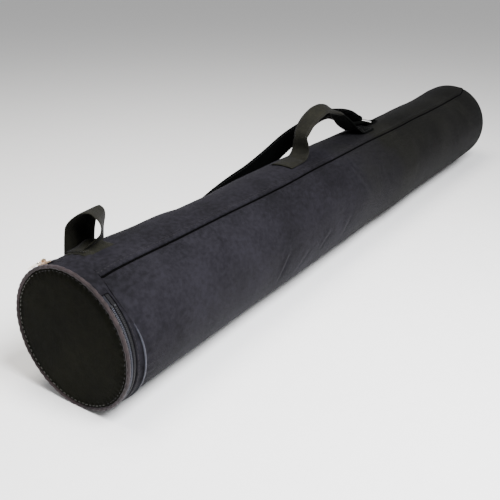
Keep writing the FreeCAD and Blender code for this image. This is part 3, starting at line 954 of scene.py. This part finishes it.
def carry_handle():
    """Two sewn feet, two legs, and the grip between them, folded in two along its length."""
    def up(x, z, hx, hy, hz, thick=WEB_T, sag=0.0):
        return (mm(x, 0, z), mm(hx, hy, hz), thick, sag)

    stations = [on_tube(*row) for row in NEAR_FOOT]
    stations += [up(*row) for row in GRIP_LINE]
    stations += [on_tube(*row) for row in FAR_FOOT]
    obj, middle = webbing("carry_handle", stations, WEBBING)
    # painted shade: faces past the far-end mark wear the strap's blacker webbing, for the shaded inner face
    # of the handle's far leg
    obj.data.materials.append(STRAP_WEB_AND_HANDLE_SHADE)
    for face in obj.data.polygons:
        face.material_index = int(face.center.x > PAINTED_SHADE_FROM * MM)
    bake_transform(obj)
    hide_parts("handle_feet", "handle_grip")
    grip = [m for m in middle if m[0].z > GRIP_FROM * MM]
    for share, tag in ((0.78, "a"), (-0.78, "b")):
        edge_stitches("grip_stitch_" + tag, grip, share, 3.0, "handle")
    box_stitch("handle_box_near", 301, 325, -10, 10, BOX_R)
    box_stitch("handle_box_far", 481, 503, -10, 10, BOX_R)


LOOP_ANGLE = 14.0
LOOP_T = 1.4  # the hanging loop's webbing is a little thicker
LOOP_LINE = [  # x, y, z and half width vector
    (37.5, 27.6, 51.8, 16, 0, 0.6), (37.5, 27.2, 56.2, 16, 0, 0.6), (37.7, 26, 64.6, 16, 0, 0.2),
    (38, 25, 70.7, 16, 0, -0.7), (38, 23, 76.8, 16, 0, -1), (38.5, 20, 82.6, 15.9, 1.6, -0.9),
    (39.3, 16, 87.4, 15.4, 4, -1.2), (41.2, 12.5, 88.3, 14.7, 5.7, -2.6), (43.0, 9.3, 86.9, 13.9, 7, -3.9),
    (43.2, 7, 84.1, 13.1, 8.1, -4.4), (42.7, 5, 81.4, 11.8, 8.9, -4.7), (42, 4, 78.3, 10.9, 9.8, -4.8),
    (41.5, 3.8, 74.3, 10.4, 10.2, -5.0), (41, 4.8, 69.6, 11, 9.6, -4.6), (38.6, 7.0, 65.6, 11.6, 5.6, -2.4),
    (36.0, 8.8, 62.4, 12.0, 2.0, -0.4), (34.6, 9.6, 59.2, 12.4, 0.6, 0.0),
]
PATCH_X, PATCH_HALF, PATCH_TURN = 34.0, 14.5, 15.0  # its sewn foot: middle, half length, half angle


def hanging_loop():
    """A loop of wide webbing, its two ends sewn down together; it leans and twists a little."""
    stations = [(mm(*row[:3]), mm(*row[3:]), LOOP_T, 0.0) for row in LOOP_LINE]
    obj, _ = webbing("hanging_loop_web", stations, WEBBING, spacing=1.2)
    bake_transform(obj)
    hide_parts("hanging_loop")

    def foot_point(x, angle):
        """The sewn foot: thin at its rim, and domed under the loop's two ends."""
        rim = (abs((x - PATCH_X) / PATCH_HALF) ** 4 + abs((angle - LOOP_ANGLE) / PATCH_TURN) ** 4) ** 0.25
        lift = 1.9 * (1 - step(rim, 0.72, 1.0)) + 0.1 + 4.2 * bump(x, 38, 9) * bump(angle, LOOP_ANGLE + 1, 7)
        ripple = 0.3 * rough(x, angle, 0, 8)
        r = TUBE_R + lift + ripple + relief(x, angle) * 0.8
        return spoke(angle, r, x), (x, math.radians(angle) * TUBE_R)

    patch = surface("loop_patch", foot_point, spans(PATCH_X - PATCH_HALF, PATCH_X + PATCH_HALF, 1.0),
                    around(1.0, LOOP_ANGLE - PATCH_TURN, LOOP_ANGLE + PATCH_TURN), WEBBING, thickness=1.2)
    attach(patch, "tube")
    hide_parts("loop_foot")
    box_stitch("loop_box", 21.5, 29.0, LOOP_ANGLE - 10, LOOP_ANGLE + 11, TUBE_R + 2.0)


def ring_tab(name, place, node):
    """Webbing folded round the ring's straight bar, both ends sewn down behind it."""
    x, angle, bar_z = place
    half, r = 17.0, 2.35  # half the tab's width, and its middle's distance from the bar's centre

    def station(px, pz, flat):
        """flat is 1 where the tab follows the tube's roundness and 0 where it is straight across."""
        return (spoke(angle, pz, px), round_way(angle) * half * MM, WEB_T, half * half / (2 * TUBE_R) * flat)

    path = [(29, 61.0, 1), (18, 61.0, 1), (9, 61.1, 0.9), (3.5, bar_z - r + 0.2, 0.3), (0, bar_z - r, 0.05),
            (-r * 0.75, bar_z - r * 0.7, 0), (-r, bar_z, 0), (-r * 0.7, bar_z + r * 0.72, 0),
            (0, bar_z + r, 0.05), (4, bar_z + 1.6, 0.3), (9, 63.2, 0.9), (18, 62.5, 1), (29, 62.4, 1)]
    stations = [station(x + along, pz, flat) for along, pz, flat in path]
    obj, _ = webbing(name, stations, STRAP_WEB_AND_HANDLE_SHADE, spacing=1.0)
    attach(obj, "tube")
    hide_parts(node)
    box_stitch(name + "_box", x + 9.5, x + 27, angle - 12, angle + 12, TUBE_R + 3.1)


STRAP_LINE = [  # x, y, z of the strap's middle, and the tilt of its width below the horizontal
    (488, 18, 73.6, 15), (474, 22, 80, 22), (455, 26, 82.2, 34), (432, 30, 80.5, 50),
    (405, 36, 72.5, 62), (375, 44, 60.2, 70), (345, 52, 44, 74), (315, 57.2, 32.3, 76),
    (285, 60.2, 25, 78), (255, 63.4, 15.5, 80), (228, 68, 4.5, 76), (216, 71, -3.5, 68),
    (206, 74.5, -11.5, 66), (190, 80.1, -24.3, 66), (174, 85.7, -37.1, 63), (160, 92, -44, 48),
    (146, 98, -50, 20), (124, 104, -54.6, 3),
    (104, 106, -55, 0), (92, 106, -55.4, 0), (88, 106, -57.6, 0), (92, 106, -59.8, 0),
    (112, 106, -59.9, 0), (160, 106, -59.8, 0), (196, 103, -58.2, 4), (224, 95.5, -50.5, 28),
    (246, 85, -40, 68), (262, 76, -32.4, 98), (275.2, 69.7, -28.2, 112),
]
STRAP_W = 38.0


def strap_station(i):
    """A station of the strap, its width squared up to its direction."""
    last = len(STRAP_LINE) - 1
    along = Vector(STRAP_LINE[min(i + 1, last)][:3]) - Vector(STRAP_LINE[max(i - 1, 0)][:3])
    along.normalize()
    x, y, z, tilt = STRAP_LINE[i]
    across = round_way(tilt)
    across -= along * across.dot(along)
    return (mm(x, y, z), across.normalized() * STRAP_W / 2 * MM, WEB_T, 0.0)


def ring_end(name, place, first):
    """The strap's last stretch: round the ring's curved bar and back under itself."""
    x, angle, bar_z = place
    lift = math.radians(25)  # the ring's rest angle over the tube
    out = outward(angle)
    away = Vector((-math.cos(lift), 0, 0)) + out * math.sin(lift)
    over = Vector((math.sin(lift), 0, 0)) + out * math.cos(lift)
    hoop = mm(x, 0, 0) + out * bar_z * MM + away * 20.0 * MM
    wide = round_way(angle) * 17.5 * MM

    def station(along, height):
        return (hoop + away * along * MM + over * height * MM, wide, WEB_T, 0.0)

    start = strap_station(first)
    halfway = (start[0].lerp(hoop + away * 5 * MM + over * 2.6 * MM, 0.5), (start[1] + wide) / 2, WEB_T, 0.0)
    path = [(3.5, 2.6), (0, 2.5), (-2.0, 1.7), (-2.5, 0), (-2.0, -1.7), (0, -2.5), (4, -1.6), (10, 0.2),
            (17, 0.9)]
    stations = [start, halfway] + [station(*row) for row in path]
    obj, _ = webbing(name, stations, STRAP_WEB_AND_HANDLE_SHADE, spacing=1.0)
    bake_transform(obj)
    return obj


FAR_RING = (512.0, 14.0, 63.6)  # x, angle and radius of each ring's straight bar
NEAR_RING = (300.0, 112.0, 63.6)


def shoulder_strap():
    """The strap between the two rings, as it lies, with its two ends and its edge stitches."""
    stations = [strap_station(i) for i in range(len(STRAP_LINE))]
    obj, middle = webbing("strap_web", stations, STRAP_WEB_AND_HANDLE_SHADE, spacing=2.5)
    far = ring_end("strap_end_far", FAR_RING, 0)
    near = ring_end("strap_end_near", NEAR_RING, len(STRAP_LINE) - 1)
    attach(obj, "tube")
    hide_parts("shoulder_strap")
    for share, tag in ((0.86, "a"), (-0.86, "b")):
        edge_stitches("strap_edge_" + tag, middle, share, 3.2, "tube")


# ---- carried-over CAD nodes ----
def finish_nodes():
    """The materials of the CAD nodes that stay in view."""
    looks = {"zip_slider": SLIDER_METAL, "pull_tab": PULL_METAL, "far_ring": CHROME, "near_ring": CHROME,
             "strap_slide": CHROME, "mouth_stiffener": BOARD, "lid_stiffener": BOARD}
    for node, material in looks.items():
        wear(node, material)


# ---- stage, light and camera ----
def stage():
    """A plain pale floor under an even white world."""
    material, tree, shader = principled("floor_paper")
    grain = noise_of(tree, 90.0)
    paper = two_colours(tree, grain, (0.90, 0.90, 0.90), (0.94, 0.94, 0.94))
    tree.links.new(paper, shader.inputs["Base Color"])
    shader.inputs["Roughness"].default_value = 0.9
    corners = [(-6, -6), (6, -6), (6, 6), (-6, 6)]
    floor = build("floor", [(x, y, -FLOOR * MM) for x, y in corners], [(0, 1, 2, 3)], material, smooth=False)
    world = bpy.data.worlds.new("studio")
    world.use_nodes = True
    background = world.node_tree.nodes["Background"]
    background.inputs["Color"].default_value = (1.0, 1.0, 1.0, 1)
    background.inputs["Strength"].default_value = 0.48
    bpy.context.scene.world = world


def area_light(name, place, target, size, power, colour):
    """A round lamp at place that looks at target."""
    data = bpy.data.lights.new(name, "AREA")
    data.shape = "DISK"
    data.size = size
    data.energy = power
    data.color = colour
    light = bpy.data.objects.new(name, data)
    light.location = place
    light.rotation_euler = (Vector(target) - Vector(place)).to_track_quat("-Z", "Y").to_euler()
    bpy.context.scene.collection.objects.link(light)


def lights():
    """A cool key lamp on the camera's side and a warm one overhead."""
    area_light("key", (0.02, -0.56, 0.74), (0.16, 0, 0), 0.45, 30, (0.97, 0.98, 1.0))
    area_light("top", (0.06, 0.16, 1.20), (0.16, 0, 0), 0.7, 15, (1.0, 0.95, 0.88))


CAMERA_PLACE = Vector((-4.813, -5.993, 4.511))  # from the middle of the lid's face, in tube radii
CAMERA_WAY = Vector((0.75777, 0.51064, -0.40625))  # the way it looks


def camera():
    """The camera, before the lid and to its left, looking down along the tube."""
    data = bpy.data.cameras.new("camera")
    data.sensor_width = 36
    data.lens = 48.56
    cam = bpy.data.objects.new("camera", data)
    cam.location = mm(LID_X, 0, 0) + CAMERA_PLACE * TUBE_R * MM
    cam.rotation_euler = CAMERA_WAY.to_track_quat("-Z", "Y").to_euler()
    bpy.context.scene.collection.objects.link(cam)
    bpy.context.scene.camera = cam


outer_shell()
foam_sleeve()
end_panel()
bore_lining()
pad_disc("end_lining", "end_lining", LINING, "tube", 0.5)
pad_disc("end_foam", "end_foam", FOAM, "tube", 0.3, trim=4.0)
pad_disc("end_board", "end_stiffener", BOARD, "tube", 0.0, trim=6.5)
pad_disc("lid_lining", "lid_lining", LINING, "lid", 0.5)
pad_disc("lid_foam", "lid_foam", FOAM, "lid", 0.3)
long_seam()
cuff()
tape("body_tape", 0.34, CUFF_X0 + 0.4, 0.3, "tube", "body_zip_tape", TAPE)
tape("lid_tape", -3.3, -0.34, -0.3, "lid", "lid_zip_tape", LID_TAPE_PAINTED_LIGHT)
zip_teeth("body_teeth", 1, "tube", "body_zip_teeth", "body_zip_stops")
zip_teeth("lid_teeth", -1, "lid", "lid_zip_teeth", "lid_zip_stops")
hinge_gusset()
lid()
carry_handle()
hanging_loop()
ring_tab("far_tab", FAR_RING, "far_ring_tab")
ring_tab("near_tab", NEAR_RING, "near_ring_tab")
shoulder_strap()
finish_nodes()
stage()
lights()
camera()
